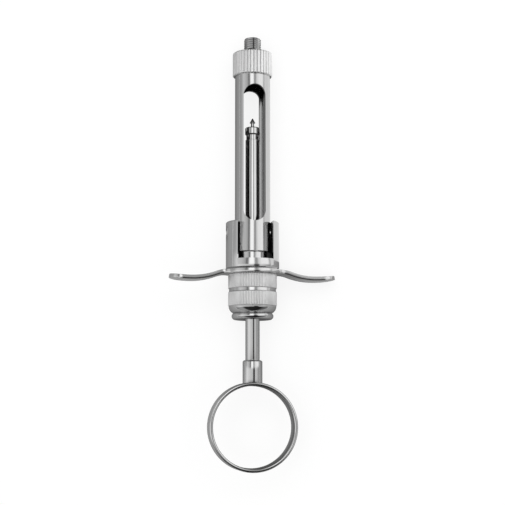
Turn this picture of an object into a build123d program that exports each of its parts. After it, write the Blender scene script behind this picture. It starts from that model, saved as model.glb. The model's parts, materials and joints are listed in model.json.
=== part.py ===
from build123d import *

import os
from math import asin, atan, atan2, cos, degrees, pi, sin, sqrt

# Dental aspirating syringe, in millimetres.
# It is drawn standing, with the needle end up: Z runs along the syringe and is 0 on the finger plate's
# front face, X runs along the plate's wings, and -Y is the front of the syringe.
# At the end it is laid down the way it rests on a table: needle end along +Y, front up.

# Fits, each the gap on the radius
sliding_fit = 0.08
screwed_fit = 0.03
stroke_gap = 0.2

# Barrel
barrel_bore = 9.1
barrel_wall = 0.95
barrel_length = 56.0
barrel_end_chamfer = 0.3
thread_neck_length = 5.4
thread_neck_step = 0.3
window_width = 6.9
rear_window_width = 5.6
window_rear_margin = 9.6
window_front_margin = 3.3

# Needle adaptor
cap_wall = 0.95
cap_height = 7.6
cap_end_wall = 0.9
cap_ridge_count = 36
cap_ridge_depth = 0.25
cap_front_chamfer = 0.5
cap_rear_chamfer = 0.3
spigot_width = 5.4
spigot_length = 4.8
spigot_chamfer = 0.4
spigot_neck_length = 0.8
spigot_neck_step = 0.3
needle_passage = 1.6

# Hinge yoke
arm_thickness = 2.72
arm_side_gap = 0.08
arm_height = 11.9
arm_chamfer = 0.3
yoke_base_height = 3.1
yoke_base_chamfer = 0.6
yoke_ledge = 1.9
barrel_floor_gap = 2.3
stem_wall = 0.9
stem_in_housing = 2.7

# Pivot screws
pivot_above_floor = 8.75
pivot_width = 2.0
pivot_wall_bite = 0.75
screw_shank_width = 2.8
screw_head_width = 3.9
screw_head_height = 1.0
screw_head_sunk = 0.3
screw_slot_width = 0.6
screw_slot_depth = 0.5

# Locking sleeve and its spring
sleeve_in_barrel = 1.8
sleeve_flange_step = 0.55
sleeve_flange_height = 1.0
sleeve_chamfer = 0.3
spring_wire = 0.8
spring_turn_count = 6.5
spring_side_gap = 0.15

# Finger plate
plate_thickness = 1.26
plate_rim = 0.7
wing_span = 52.0
wing_half_depth = 3.9
wing_root_radius = 3.0
wing_bend_start = 8.0
wing_low_point = 19.1
wing_dip = 2.0
wing_tip_rise = 0.6
wing_bend_radius = 10.0

# Clamp collar and spring housing
collar_wall = 1.52
collar_height = 4.54
collar_rim_height = 1.0
collar_rim_step = 0.27
fine_ridge_count = 94
fine_ridge_depth = 0.15
knurl_chamfer = 0.2
housing_knurl_height = 4.4
housing_dome_height = 2.2
housing_dome_shrink = 1.55
housing_floor = 1.2

# Guide bush
bead_height = 2.0
bead_bulge = 0.48
bead_rear_shrink = 0.45
bush_wall = 1.3
bush_in_housing = 0.6

# Plunger
rod_width = 4.4
rod_length = 73.0
tip_ahead_of_barrel_rear = 39.7
tip_head_step = 0.15
tip_head_height = 2.4
tip_head_chamfer = 0.3
rod_neck_length = 1.6
rod_neck_step = 0.25
tip_stud_width = 2.0
tip_stud_length = 3.0
harpoon_shaft_width = 1.0
harpoon_shaft_length = 1.5
harpoon_barb_width = 1.8
harpoon_barb_length = 1.5
harpoon_point_width = 0.2

# Thumb ring and its socket
socket_width = 6.1
socket_length = 6.7
socket_chamfer = 0.4
socket_stud_width = 3.0
socket_stud_length = 4.0
ring_opening = 25.1
ring_band = 1.15
ring_depth = 6.5
ring_rounding = 0.5

# Radii that follow
bore_r = barrel_bore / 2
barrel_r = bore_r + barrel_wall
neck_r = barrel_r - thread_neck_step
cap_bore_r = neck_r + sliding_fit
cap_r = cap_bore_r + cap_wall
spigot_r = spigot_width / 2
rod_r = rod_width / 2
rod_hole_r = rod_r + sliding_fit
sleeve_r = bore_r - sliding_fit
flange_r = sleeve_r + sleeve_flange_step
stem_bore_r = flange_r + sliding_fit
stem_r = stem_bore_r + stem_wall
stem_hole_r = stem_r + screwed_fit
arm_inner = barrel_r + arm_side_gap
yoke_r = arm_inner + arm_thickness
plate_r = yoke_r + plate_rim
collar_r = stem_hole_r + collar_wall
collar_rim_r = collar_r - collar_rim_step
dome_end_r = collar_r - housing_dome_shrink
bush_r = rod_hole_r + bush_wall
tip_head_r = rod_r + tip_head_step
socket_r = socket_width / 2
ring_outer_r = ring_opening / 2 + ring_band

# Heights that follow, from the needle end down
floor_z = yoke_base_height
barrel_rear_z = floor_z + barrel_floor_gap
barrel_shoulder_z = barrel_rear_z + barrel_length
barrel_front_z = barrel_shoulder_z + thread_neck_length
cap_top_z = barrel_shoulder_z + cap_height
spigot_top_z = cap_top_z + spigot_length
window_rear_z = barrel_rear_z + window_rear_margin
window_front_z = barrel_shoulder_z - window_front_margin
pivot_z = floor_z + pivot_above_floor
arm_top_z = floor_z + arm_height
ledge_z = floor_z - yoke_ledge
flange_low_z = ledge_z - sleeve_flange_height
sleeve_top_z = barrel_rear_z + sleeve_in_barrel
collar_top_z = -plate_thickness
collar_rim_z = collar_top_z - collar_height
housing_top_z = collar_rim_z - collar_rim_height
stem_low_z = housing_top_z - stem_in_housing
dome_top_z = housing_top_z - housing_knurl_height
dome_low_z = dome_top_z - housing_dome_height
spring_seat_z = dome_low_z + housing_floor
bush_top_z = spring_seat_z + bush_in_housing
bush_low_z = dome_low_z - bead_height
tip_top_z = barrel_rear_z + tip_ahead_of_barrel_rear
rod_top_z = tip_top_z - tip_head_height
rod_low_z = tip_top_z - rod_length
ring_z = rod_low_z - socket_length - ring_outer_r

# Strokes that follow
sleeve_stroke = sleeve_top_z - floor_z
plunger_back_stroke = rod_top_z - sleeve_top_z - stroke_gap
plunger_front_stroke = bush_low_z - rod_low_z - stroke_gap

UPRIGHT = (Align.CENTER, Align.CENTER, Align.MIN)


def post(radius, low, high):
    """A cylinder on the syringe's axis between two heights."""
    return Pos(0, 0, low) * Cylinder(radius, high - low, align=UPRIGHT)


def turned(corners):
    """A solid turned about the axis from corners given as (radius, height)."""
    outline = Polyline(*[(radius, 0, height) for radius, height in corners], close=True)
    return revolve(make_face(outline), Axis.Z)


def ridged(tip_r, depth, ridges, low, high):
    """A straight-knurled bar whose ridges have flat tips, flat valleys and sloped flanks."""
    pitch = 2 * pi / ridges
    quarter = pitch / 4
    corners = []
    for ridge in range(ridges):
        angle = ridge * pitch
        for radius, turn in ((tip_r, angle), (tip_r, angle + quarter),
                             (tip_r - depth, angle + 2 * quarter), (tip_r - depth, angle + 3 * quarter)):
            corners.append((radius * cos(turn), radius * sin(turn)))
    bar = extrude(make_face(Polyline(*corners, close=True)), amount=high - low)
    return Pos(0, 0, low) * bar


def chamfered_blank(radius, low, high, low_chamfer, high_chamfer):
    """A turned blank with a chamfer at each end."""
    return turned([(0, low), (radius - low_chamfer, low), (radius, low + low_chamfer),
                   (radius, high - high_chamfer), (radius - high_chamfer, high), (0, high)])


def window_cut(width, reach):
    """A round-ended cut from the axis through the barrel's front wall, or its rear wall if the reach is negative."""
    length = window_front_z - window_rear_z
    middle = (window_front_z + window_rear_z) / 2
    return extrude(Plane.XZ * Pos(0, middle) * SlotOverall(length, width, rotation=90), amount=reach)


def make_barrel():
    """The tube with its two windows, its stepped front end and a pivot hole in each side."""
    chamfer_r = barrel_r - barrel_end_chamfer
    tube = turned([(bore_r, barrel_rear_z), (chamfer_r, barrel_rear_z),
                   (barrel_r, barrel_rear_z + barrel_end_chamfer), (barrel_r, barrel_shoulder_z),
                   (neck_r, barrel_shoulder_z), (neck_r, barrel_front_z), (bore_r, barrel_front_z)])
    windows = window_cut(window_width, barrel_r) + window_cut(rear_window_width, -barrel_r)
    pivot_hole = Cylinder(pivot_width / 2 + screwed_fit, 2 * barrel_r)
    return tube - windows - Pos(0, 0, pivot_z) * Rot(0, 90, 0) * pivot_hole


def make_needle_adaptor():
    """The knurled cap, its bore for the barrel's neck, the spigot and the needle's passage."""
    blank = chamfered_blank(cap_r, barrel_shoulder_z, cap_top_z, cap_rear_chamfer, cap_front_chamfer)
    cap = ridged(cap_r, cap_ridge_depth, cap_ridge_count, barrel_shoulder_z, cap_top_z) & blank
    neck_top_z = cap_top_z + spigot_neck_length
    spigot_neck_r = spigot_r - spigot_neck_step
    spigot = post(spigot_neck_r, cap_top_z - cap_end_wall / 2, neck_top_z)
    spigot += chamfered_blank(spigot_r, neck_top_z, spigot_top_z, spigot_neck_step, spigot_chamfer)
    bore = post(cap_bore_r, barrel_shoulder_z, cap_top_z - cap_end_wall)
    passage = post(needle_passage / 2, barrel_shoulder_z, spigot_top_z)
    return cap + spigot - bore - passage


def pivot_side(side):
    """The place where local Z runs out from the syringe's axis through one pivot: side is -1 or 1."""
    return Pos(0, 0, pivot_z) * Rot(0, 90 * side, 0)


def make_hinge_yoke():
    """The fork that holds the barrel, and its tubular stem."""
    base_r = yoke_r - yoke_base_chamfer
    fork = turned([(0, 0), (base_r, 0), (yoke_r, yoke_base_chamfer), (yoke_r, arm_top_z - arm_chamfer),
                   (yoke_r - arm_chamfer, arm_top_z), (0, arm_top_z)])
    fork -= Pos(0, 0, floor_z) * Box(2 * arm_inner, 2 * yoke_r, arm_height, align=UPRIGHT)
    fork += post(stem_r, stem_low_z, 0)
    fork -= post(stem_bore_r, stem_low_z, ledge_z)
    fork -= post(sleeve_r + sliding_fit, ledge_z, floor_z)
    head_seat = yoke_r - screw_head_sunk - screw_head_height
    for side in (-1, 1):
        fork -= pivot_side(side) * post(screw_shank_width / 2 + screwed_fit, arm_inner, head_seat)
        fork -= pivot_side(side) * post(screw_head_width / 2 + screwed_fit, head_seat, yoke_r)
    return fork


def make_pivot_screw(side):
    """A slotted screw whose plain end is the pivot in the barrel's wall."""
    head_top = yoke_r - screw_head_sunk
    head_seat = head_top - screw_head_height
    screw = post(pivot_width / 2, barrel_r - pivot_wall_bite, arm_inner)
    screw += post(screw_shank_width / 2, arm_inner, head_seat)
    screw += post(screw_head_width / 2, head_seat, head_top)
    slot = Box(screw_head_width, screw_slot_width, screw_slot_depth, align=UPRIGHT)
    screw -= Pos(0, 0, head_top - screw_slot_depth) * slot
    return pivot_side(side) * screw


def make_locking_sleeve():
    """The flanged sleeve round the rod whose front end sits in the barrel's rear opening."""
    return turned([(rod_hole_r, flange_low_z), (flange_r, flange_low_z), (flange_r, ledge_z),
                   (sleeve_r, ledge_z), (sleeve_r, sleeve_top_z - sleeve_chamfer),
                   (sleeve_r - sleeve_chamfer, sleeve_top_z), (rod_hole_r, sleeve_top_z)])


def make_return_spring():
    """The coil spring between the sleeve's flange and the housing's floor."""
    wire_r = spring_wire / 2
    coil_r = stem_bore_r - spring_side_gap - wire_r
    height = flange_low_z - spring_seat_z - spring_wire
    coil = Helix(height / spring_turn_count, height, coil_r, center=(0, 0, spring_seat_z + wire_r))
    section = Plane(origin=coil @ 0, z_dir=coil % 0) * Circle(wire_r)
    return sweep(section, path=coil, is_frenet=True)


def wing_edge(offset):
    """One face of the right wing seen from the front, as edges at an offset from the mid-surface."""
    reach = wing_low_point - wing_bend_start
    turn = 2 * atan(wing_dip / reach)
    rise_radius = reach / sin(turn) - wing_bend_radius
    tip_reach = wing_span / 2 - wing_low_point
    tip_radius = (tip_reach ** 2 + wing_tip_rise ** 2) / (2 * wing_tip_rise)
    tip_turn = asin(min(1, (tip_reach + plate_thickness) / tip_radius))
    middle = -plate_thickness / 2

    def down(angle):
        radius = wing_bend_radius + offset
        return (wing_bend_start + radius * sin(angle), 0, middle - wing_bend_radius + radius * cos(angle))

    def up(radius, angle):
        inner = radius - offset
        return (wing_low_point + inner * sin(angle), 0, middle - wing_dip + radius - inner * cos(angle))

    return [Line((0, 0, middle + offset), down(0)),
            ThreePointArc(down(0), down(turn / 2), down(turn)),
            ThreePointArc(down(turn), up(rise_radius, -turn / 2), up(rise_radius, 0)),
            ThreePointArc(up(tip_radius, 0), up(tip_radius, tip_turn / 2), up(tip_radius, tip_turn))]


def make_finger_plate():
    """The pressed plate: a round middle, two S-curved wings with round tips and a hole for the stem."""
    front = wing_edge(plate_thickness / 2)
    rear = wing_edge(-plate_thickness / 2)
    right = front + rear + [Line(front[-1] @ 1, rear[-1] @ 1)]
    left = [edge.mirror(Plane.YZ) for edge in right]
    sheet = extrude(make_face(right + left), amount=plate_r, both=True)
    plan = Circle(plate_r) + SlotOverall(wing_span, 2 * wing_half_depth)
    wing_straight = wing_span / 2 - wing_half_depth
    roots = [corner for corner in plan.vertices() if abs(corner.X) < wing_straight - wing_root_radius / 2]
    plan = fillet(roots, wing_root_radius)
    reach = wing_dip + 2 * plate_thickness
    return sheet & extrude(plan, amount=reach, both=True) - post(stem_hole_r, -reach, reach)


def make_clamp_collar():
    """The knurled nut that clamps the finger plate to the yoke, with a plain rim."""
    blank = chamfered_blank(collar_r, collar_rim_z, collar_top_z, knurl_chamfer, knurl_chamfer)
    nut = ridged(collar_r, fine_ridge_depth, fine_ridge_count, collar_rim_z, collar_top_z) & blank
    return nut + post(collar_rim_r, housing_top_z, collar_rim_z) - post(stem_hole_r, housing_top_z, collar_top_z)


def domed_end():
    """The dome behind the housing's knurl, rounded from the knurl's root to the guide bush."""
    start_r = collar_r - fine_ridge_depth
    shrink = start_r - dome_end_r
    round_r = (shrink ** 2 + housing_dome_height ** 2) / (2 * shrink)
    half_turn = atan2(housing_dome_height, round_r - shrink) / 2
    bulge = (start_r - round_r + round_r * cos(half_turn), 0, dome_top_z - round_r * sin(half_turn))
    arc = ThreePointArc((start_r, 0, dome_top_z), bulge, (dome_end_r, 0, dome_low_z))
    rest = Polyline(arc @ 1, (0, 0, dome_low_z), (0, 0, dome_top_z), arc @ 0)
    return revolve(make_face([arc, *rest.edges()]), Axis.Z)


def make_spring_housing():
    """The second knurled collar: a domed cup, screwed onto the stem, that holds the spring."""
    blank = chamfered_blank(collar_r, dome_top_z, housing_top_z, knurl_chamfer, knurl_chamfer)
    cup = ridged(collar_r, fine_ridge_depth, fine_ridge_count, dome_top_z, housing_top_z) & blank
    cup += domed_end()
    cup -= post(stem_hole_r, stem_low_z, housing_top_z)
    cup -= post(stem_bore_r, spring_seat_z, stem_low_z)
    return cup - post(bush_r + screwed_fit, dome_low_z, spring_seat_z)


def make_guide_bush():
    """The bead behind the dome, with the neck that holds it in the housing's floor."""
    low_r = dome_end_r - bead_rear_shrink
    bulge = (dome_end_r + bead_bulge, 0, (bush_low_z + dome_low_z) / 2)
    arc = ThreePointArc((dome_end_r, 0, dome_low_z), bulge, (low_r, 0, bush_low_z))
    rest = Polyline(arc @ 1, (0, 0, bush_low_z), (0, 0, dome_low_z), arc @ 0)
    bead = revolve(make_face([arc, *rest.edges()]), Axis.Z)
    return bead + post(bush_r, dome_low_z, bush_top_z) - post(rod_hole_r, bush_low_z, bush_top_z)


def make_plunger_rod():
    """The rod, with a neck and a tapped hole for the tip in front and a stud for the socket behind."""
    neck_low_z = rod_top_z - rod_neck_length
    neck_rod_r = rod_r - rod_neck_step
    stud_r = socket_stud_width / 2
    stud_low_z = rod_low_z - socket_stud_length
    rod = turned([(0, stud_low_z), (stud_r, stud_low_z), (stud_r, rod_low_z), (rod_r, rod_low_z),
                  (rod_r, neck_low_z), (neck_rod_r, neck_low_z), (neck_rod_r, rod_top_z), (0, rod_top_z)])
    return rod - post(tip_stud_width / 2 + screwed_fit, rod_top_z - tip_stud_length, rod_top_z)


def make_plunger_tip():
    """The head that catches the locking sleeve when the rod is drawn back, and the harpoon on it."""
    head = chamfered_blank(tip_head_r, rod_top_z, tip_top_z, tip_head_chamfer, tip_head_chamfer)
    stud = post(tip_stud_width / 2, rod_top_z - tip_stud_length, rod_top_z)
    barb_z = tip_top_z + harpoon_shaft_length
    shaft_r = harpoon_shaft_width / 2
    harpoon = turned([(0, tip_top_z), (shaft_r, tip_top_z), (shaft_r, barb_z), (harpoon_barb_width / 2, barb_z),
                      (harpoon_point_width / 2, barb_z + harpoon_barb_length), (0, barb_z + harpoon_barb_length)])
    return head + stud + harpoon


def across(radius, depth):
    """A cylinder at the thumb ring's centre whose axis runs from front to back."""
    return Pos(0, 0, ring_z) * Rot(90, 0, 0) * Cylinder(radius, depth)


def make_ring_socket():
    """The ferrule that joins the rod to the ring, saddled onto the ring's band."""
    body = turned([(0, ring_z), (socket_r, ring_z), (socket_r, rod_low_z - socket_chamfer),
                   (socket_r - socket_chamfer, rod_low_z), (0, rod_low_z)])
    body -= across(ring_outer_r, 2 * socket_width)
    return body - post(socket_stud_width / 2 + sliding_fit, rod_low_z - socket_stud_length, rod_low_z)


def make_thumb_ring():
    """The flat band, rounded along its edges, bent to a ring that faces front and back."""
    section = Pos(ring_opening / 2 + ring_band / 2, 0) * RectangleRounded(ring_band, ring_depth, ring_rounding)
    return Pos(0, 0, ring_z) * revolve(section, Axis.Y)


pieces = {
    "needle_adaptor": make_needle_adaptor(),
    "barrel": make_barrel(),
    "hinge_yoke": make_hinge_yoke(),
    "pivot_screw_left": make_pivot_screw(-1),
    "pivot_screw_right": make_pivot_screw(1),
    "locking_sleeve": make_locking_sleeve(),
    "return_spring": make_return_spring(),
    "finger_plate": make_finger_plate(),
    "clamp_collar": make_clamp_collar(),
    "spring_housing": make_spring_housing(),
    "guide_bush": make_guide_bush(),
    "plunger_rod": make_plunger_rod(),
    "plunger_tip": make_plunger_tip(),
    "ring_socket": make_ring_socket(),
    "thumb_ring": make_thumb_ring(),
}

# At rest the syringe touches the table with the cap's front rim, the plate's round edge and one wing tip.
# nose_down brings the rim and the round edge to one level, and roll brings the wing tip down to it.
rim_z = cap_top_z - cap_front_chamfer
nose_down = atan((plate_r - cap_r) / rim_z)
tip_drop = plate_r + (wing_dip - wing_tip_rise) * sin(nose_down)
roll = asin((tip_drop - wing_half_depth) / (wing_span / 2 - wing_half_depth))
laid_down = Rot(-degrees(nose_down), 0, 0) * Rot(0, degrees(roll), 0) * Rot(-90, 0, 0)

# The origin is below the middle of the whole syringe, on the table.
box = Compound(children=[laid_down * piece for piece in pieces.values()]).bounding_box()
to_origin = Pos(-(box.min.X + box.max.X) / 2, -(box.min.Y + box.max.Y) / 2, -box.min.Z)
at_rest = to_origin * laid_down

os.makedirs("parts", exist_ok=True)
for name, piece in pieces.items():
    export_step(at_rest * piece, f"parts/{name}.step")
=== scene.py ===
"""A dental aspirating syringe lying on a pale table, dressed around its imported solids."""

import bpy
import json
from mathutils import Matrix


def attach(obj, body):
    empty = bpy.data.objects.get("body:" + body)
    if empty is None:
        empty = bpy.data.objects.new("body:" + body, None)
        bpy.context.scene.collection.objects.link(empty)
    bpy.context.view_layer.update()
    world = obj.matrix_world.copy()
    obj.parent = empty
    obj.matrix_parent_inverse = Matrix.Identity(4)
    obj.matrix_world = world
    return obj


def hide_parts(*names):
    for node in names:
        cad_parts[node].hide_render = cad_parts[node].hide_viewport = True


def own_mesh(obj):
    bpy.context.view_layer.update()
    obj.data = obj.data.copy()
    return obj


bl_info = {
    "name": "Dental aspirating syringe",
    "version": (1, 0, 0),
    "blender": (4, 5, 0),
    "location": "View3D > Sidebar > Syringe",
    "description": "Models the steel pieces of a cartridge syringe and lights them in a small studio",
    "category": "Add Mesh",
}

import json
import math

import bpy
from mathutils import Matrix, Vector

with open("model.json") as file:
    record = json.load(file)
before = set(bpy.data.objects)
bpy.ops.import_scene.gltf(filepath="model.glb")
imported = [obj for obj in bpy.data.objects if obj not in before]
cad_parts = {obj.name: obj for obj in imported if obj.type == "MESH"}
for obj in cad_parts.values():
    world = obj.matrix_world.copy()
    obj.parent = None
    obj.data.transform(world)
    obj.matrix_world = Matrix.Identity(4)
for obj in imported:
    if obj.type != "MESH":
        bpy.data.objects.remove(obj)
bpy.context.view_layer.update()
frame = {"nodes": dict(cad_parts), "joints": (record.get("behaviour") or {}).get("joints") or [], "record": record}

MM = 0.001
ROUND = 128
SMALL_ROUND = 48
SMOOTH_ANGLE = math.radians(30)
SHARP_ANGLE = math.radians(35)

JOINTS = {joint["name"]: joint for joint in frame["joints"]}
MOUNTS = {mount["name"]: mount for mount in frame["record"]["mounts"]}
NEEDLE_WAY = Vector(JOINTS["plunger_slide"]["axis"]).normalized()
FRONT_WAY = Vector(MOUNTS["thumb_ring_hole"]["axis"]).normalized()
SIDE_WAY = NEEDLE_WAY.cross(FRONT_WAY)


def standing_place():
    """The matrix that lays an upright syringe down: its Z runs to the needle, its origin is on the plate's face."""
    shoulder = Vector(JOINTS["ring_turn"]["pos_m"])
    plate = frame["nodes"]["finger_plate"].data.vertices
    face = max((vertex.co - shoulder).dot(NEEDLE_WAY) for vertex in plate)
    turned = Matrix((SIDE_WAY, -FRONT_WAY, NEEDLE_WAY)).transposed().to_4x4()
    return Matrix.Translation(shoulder + face * NEEDLE_WAY) @ turned


LAY_DOWN = standing_place()
STAND_UP = LAY_DOWN.inverted()


def reach(node):
    """How low, how high and how far from the axis a solid reaches when the syringe stands upright."""
    points = [STAND_UP @ vertex.co for vertex in frame["nodes"][node].data.vertices]
    heights = [point.z for point in points]
    return min(heights), max(heights), max(math.hypot(point.x, point.y) for point in points)


def mm(name, description, millimetres):
    """A length that a user may change."""
    return bpy.props.FloatProperty(name=name, description=description, default=millimetres * MM,
                                   unit="LENGTH", precision=5)


def share(name, description, value, highest=1.0):
    """A plain number between 0 and a highest value."""
    return bpy.props.FloatProperty(name=name, description=description, default=value, min=0, max=highest)


def count(name, description, value):
    """A whole number of like features."""
    return bpy.props.IntProperty(name=name, description=description, default=value, min=3)


def colour(name, description, grey, warmth=0.0):
    """A near-neutral metal colour."""
    return bpy.props.FloatVectorProperty(name=name, description=description, subtype="COLOR", size=4,
                                         min=0, max=1, default=(grey + warmth, grey, grey - warmth, 1))


def angle(name, description, degrees):
    """An angle that a user may change."""
    return bpy.props.FloatProperty(name=name, description=description, default=math.radians(degrees), subtype="ANGLE")


class SyringeSizes(bpy.types.PropertyGroup):
    """Sizes of the details that the solids' outlines don't give."""

    bore: mm("Bore", "Radius of the barrel's bore", 4.55)
    chamfer: mm("Chamfer", "Chamfer of the barrel, the adaptor's rear rim, the arms and the plunger tip", 0.3)
    neck_step: mm("Neck step", "How far the barrel's threaded neck steps in", 0.3)
    window_width: mm("Window width", "Width of the front window", 6.9)
    rear_window_width: mm("Rear window width", "Width of the rear window", 5.6)
    window_rear: mm("Window rear margin", "From the barrel's rear end to the windows", 9.6)
    window_front: mm("Window front margin", "From the windows to the adaptor", 3.3)
    cap_bore: mm("Cap bore", "Radius of the adaptor's bore", 5.28)
    cap_end_wall: mm("Cap end wall", "Thickness of the adaptor's front wall", 0.9)
    cap_ridges: count("Cap ridges", "Ridges round the adaptor", 36)
    cap_ridge_depth: mm("Cap ridge depth", "Depth of the adaptor's knurl", 0.25)
    cap_rounding: mm("Cap rounding", "Rounding of the adaptor's front rim", 0.5)
    spigot: mm("Spigot", "Radius over the spigot's thread", 2.7)
    spigot_length: mm("Spigot length", "How far the spigot stands out", 4.8)
    spigot_neck: mm("Spigot neck", "Height of the plain neck below the thread", 0.8)
    spigot_neck_step: mm("Spigot neck step", "How far the plain neck steps in", 0.3)
    spigot_chamfer: mm("Spigot chamfer", "Chamfer at the thread's end", 0.4)
    thread_pitch: mm("Thread pitch", "Pitch of the needle thread", 0.7)
    thread_depth: mm("Thread depth", "Depth of the needle thread", 0.36)
    passage: mm("Needle passage", "Radius of the needle's passage", 0.8)
    yoke_floor: mm("Yoke floor", "Height of the fork's floor above the plate", 3.1)
    yoke_chamfer: mm("Yoke chamfer", "Chamfer round the yoke's foot", 0.6)
    arm_inner: mm("Arm face", "From the axis to an arm's flat inner face", 5.58)
    sleeve_hole: mm("Sleeve hole", "Radius of the hole in the fork's floor", 4.55)
    yoke_ledge: mm("Yoke ledge", "Thickness of the ledge that stops the sleeve", 1.9)
    stem: mm("Stem", "Radius of the yoke's stem", 6.0)
    stem_bore: mm("Stem bore", "Radius of the stem's bore", 5.1)
    pivot: mm("Pivot", "Radius of the pivots", 1.0)
    pivot_hole: mm("Pivot hole", "Radius of the barrel's pivot holes", 1.03)
    pivot_bite: mm("Pivot bite", "How far a pivot reaches into the barrel's wall", 0.75)
    pivot_height: mm("Pivot height", "Height of the pivots above the plate", 11.85)
    screw_head: mm("Screw head", "Radius of a pivot screw's head", 1.95)
    screw_hole: mm("Screw hole", "Radius of the recess round a screw's head", 1.98)
    screw_shank: mm("Screw shank", "Radius of a pivot screw's shank", 1.4)
    screw_head_height: mm("Screw head height", "Height of a pivot screw's head", 1.0)
    screw_sunk: mm("Screw recess", "How deep a screw's head is sunk", 0.3)
    screw_slot: mm("Screw slot", "Width of a screw's slot", 0.6)
    screw_slot_depth: mm("Screw slot depth", "Depth of a screw's slot", 0.5)
    # Painted shade: how far forwards of the axis the fork's slot is coloured near black.
    slot_shade_reach: mm("Dark slot", "From the axis forwards to where the fork's slot is unpolished", 3.2)
    edge: mm("Turned edges", "Rounding of the turned pieces' edges", 0.1)
    plate_thickness: mm("Plate thickness", "Thickness of the finger plate", 1.26)
    plate_round: mm("Plate middle", "Radius of the finger plate's round middle", 9.0)
    wing_reach: mm("Wing reach", "From the axis to a wing's tip", 26.0)
    wing_half_depth: mm("Wing half depth", "Half of a wing's depth", 3.9)
    wing_root: mm("Wing root", "Rounding where a wing leaves the round middle", 3.0)
    wing_bend_start: mm("Bend start", "Where a wing starts to bend down", 8.0)
    wing_low_point: mm("Low point", "Where a wing is lowest", 19.1)
    wing_dip: mm("Wing dip", "How far a wing dips", 2.0)
    wing_rise: mm("Wing rise", "How far the tip rises again", 0.6)
    wing_bend: mm("Wing bend", "Radius of a wing's first bend", 10.0)
    plate_edge: mm("Plate edge", "Rounding of the finger plate's edges", 0.3)
    fine_ridges: count("Fine ridges", "Ridges round each collar", 94)
    fine_depth: mm("Fine ridge depth", "Depth of the collars' knurl", 0.15)
    knurl_chamfer: mm("Knurl chamfer", "Chamfer at each end of a knurl", 0.2)
    collar_rim: mm("Collar rim", "Height of the clamp collar's plain rim", 1.0)
    collar_rim_step: mm("Collar rim step", "How far the plain rim steps in", 0.27)
    dome_height: mm("Dome height", "Height of the housing's dome", 2.2)
    dome_shrink: mm("Dome shrink", "How far the dome narrows", 1.55)
    housing_floor: mm("Housing floor", "Thickness of the housing's floor", 1.2)
    bush: mm("Bush neck", "Radius of the guide bush's neck", 3.58)
    bead_shrink: mm("Bead shrink", "How far the bead narrows at its rear", 0.45)
    spring_wire: mm("Spring wire", "Thickness of the return spring's wire", 0.8)
    spring_turns: share("Spring turns", "Turns of the return spring", 6.5, 100)
    rod: mm("Rod", "Radius of the plunger rod", 2.2)
    rod_hole: mm("Rod hole", "Radius of the hole that guides the rod", 2.28)
    rod_neck: mm("Rod neck", "Length of the rod's neck behind the tip", 1.6)
    rod_neck_step: mm("Rod neck step", "How far the neck steps in", 0.25)
    tip_head_height: mm("Tip head height", "Height of the plunger tip's head", 2.4)
    shaft: mm("Harpoon shaft", "Radius of the harpoon's shaft", 0.5)
    barb: mm("Harpoon barb", "Radius of the harpoon's barb", 0.9)
    barb_length: mm("Barb length", "Length of the harpoon's barb", 1.5)
    point: mm("Harpoon point", "Radius of the harpoon's point", 0.1)
    socket_chamfer: mm("Socket chamfer", "Chamfer of the ring socket's rim", 0.4)
    stud: mm("Stud", "Radius of the rod's stud in the socket", 1.5)
    stud_length: mm("Stud length", "Length of the rod's stud", 4.0)
    ring_inner: mm("Ring opening", "Radius of the thumb ring's opening", 12.55)
    ring_band: mm("Ring band", "Thickness of the ring's band", 1.15)
    ring_depth: mm("Ring depth", "Depth of the ring's band from front to back", 6.5)
    ring_rounding: mm("Ring rounding", "Rounding of the band's edges", 0.5)


class SyringeFinish(bpy.types.PropertyGroup):
    """Colours and polish of the metal."""

    satin: colour("Satin steel", "The barrel's lengthwise-polished steel", 0.56)
    polished: colour("Polished steel", "The yoke, plate, plunger and ring", 0.58)
    # Painted highlight and shade: the knurl's tips are coloured lighter than the steel, and its valleys darker.
    knurled: colour("Knurl tips", "The tops of the ridges", 0.88)
    valley: colour("Knurl valleys", "The bottoms of the grooves", 0.58)
    # Painted shade: the fork's slot faces are coloured near black for the shade between the arms and the barrel.
    slot: colour("Milled slot", "The unpolished faces of the fork's slot", 0.07)
    wire: colour("Spring wire", "The return spring's drawn wire", 0.36)
    satin_roughness: share("Satin roughness", "How soft the barrel's reflections are", 0.12)
    polished_roughness: share("Polished roughness", "How soft the polished steel's reflections are", 0.1)
    knurl_roughness: share("Knurl roughness", "How soft the knurl's reflections are", 0.45)


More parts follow.
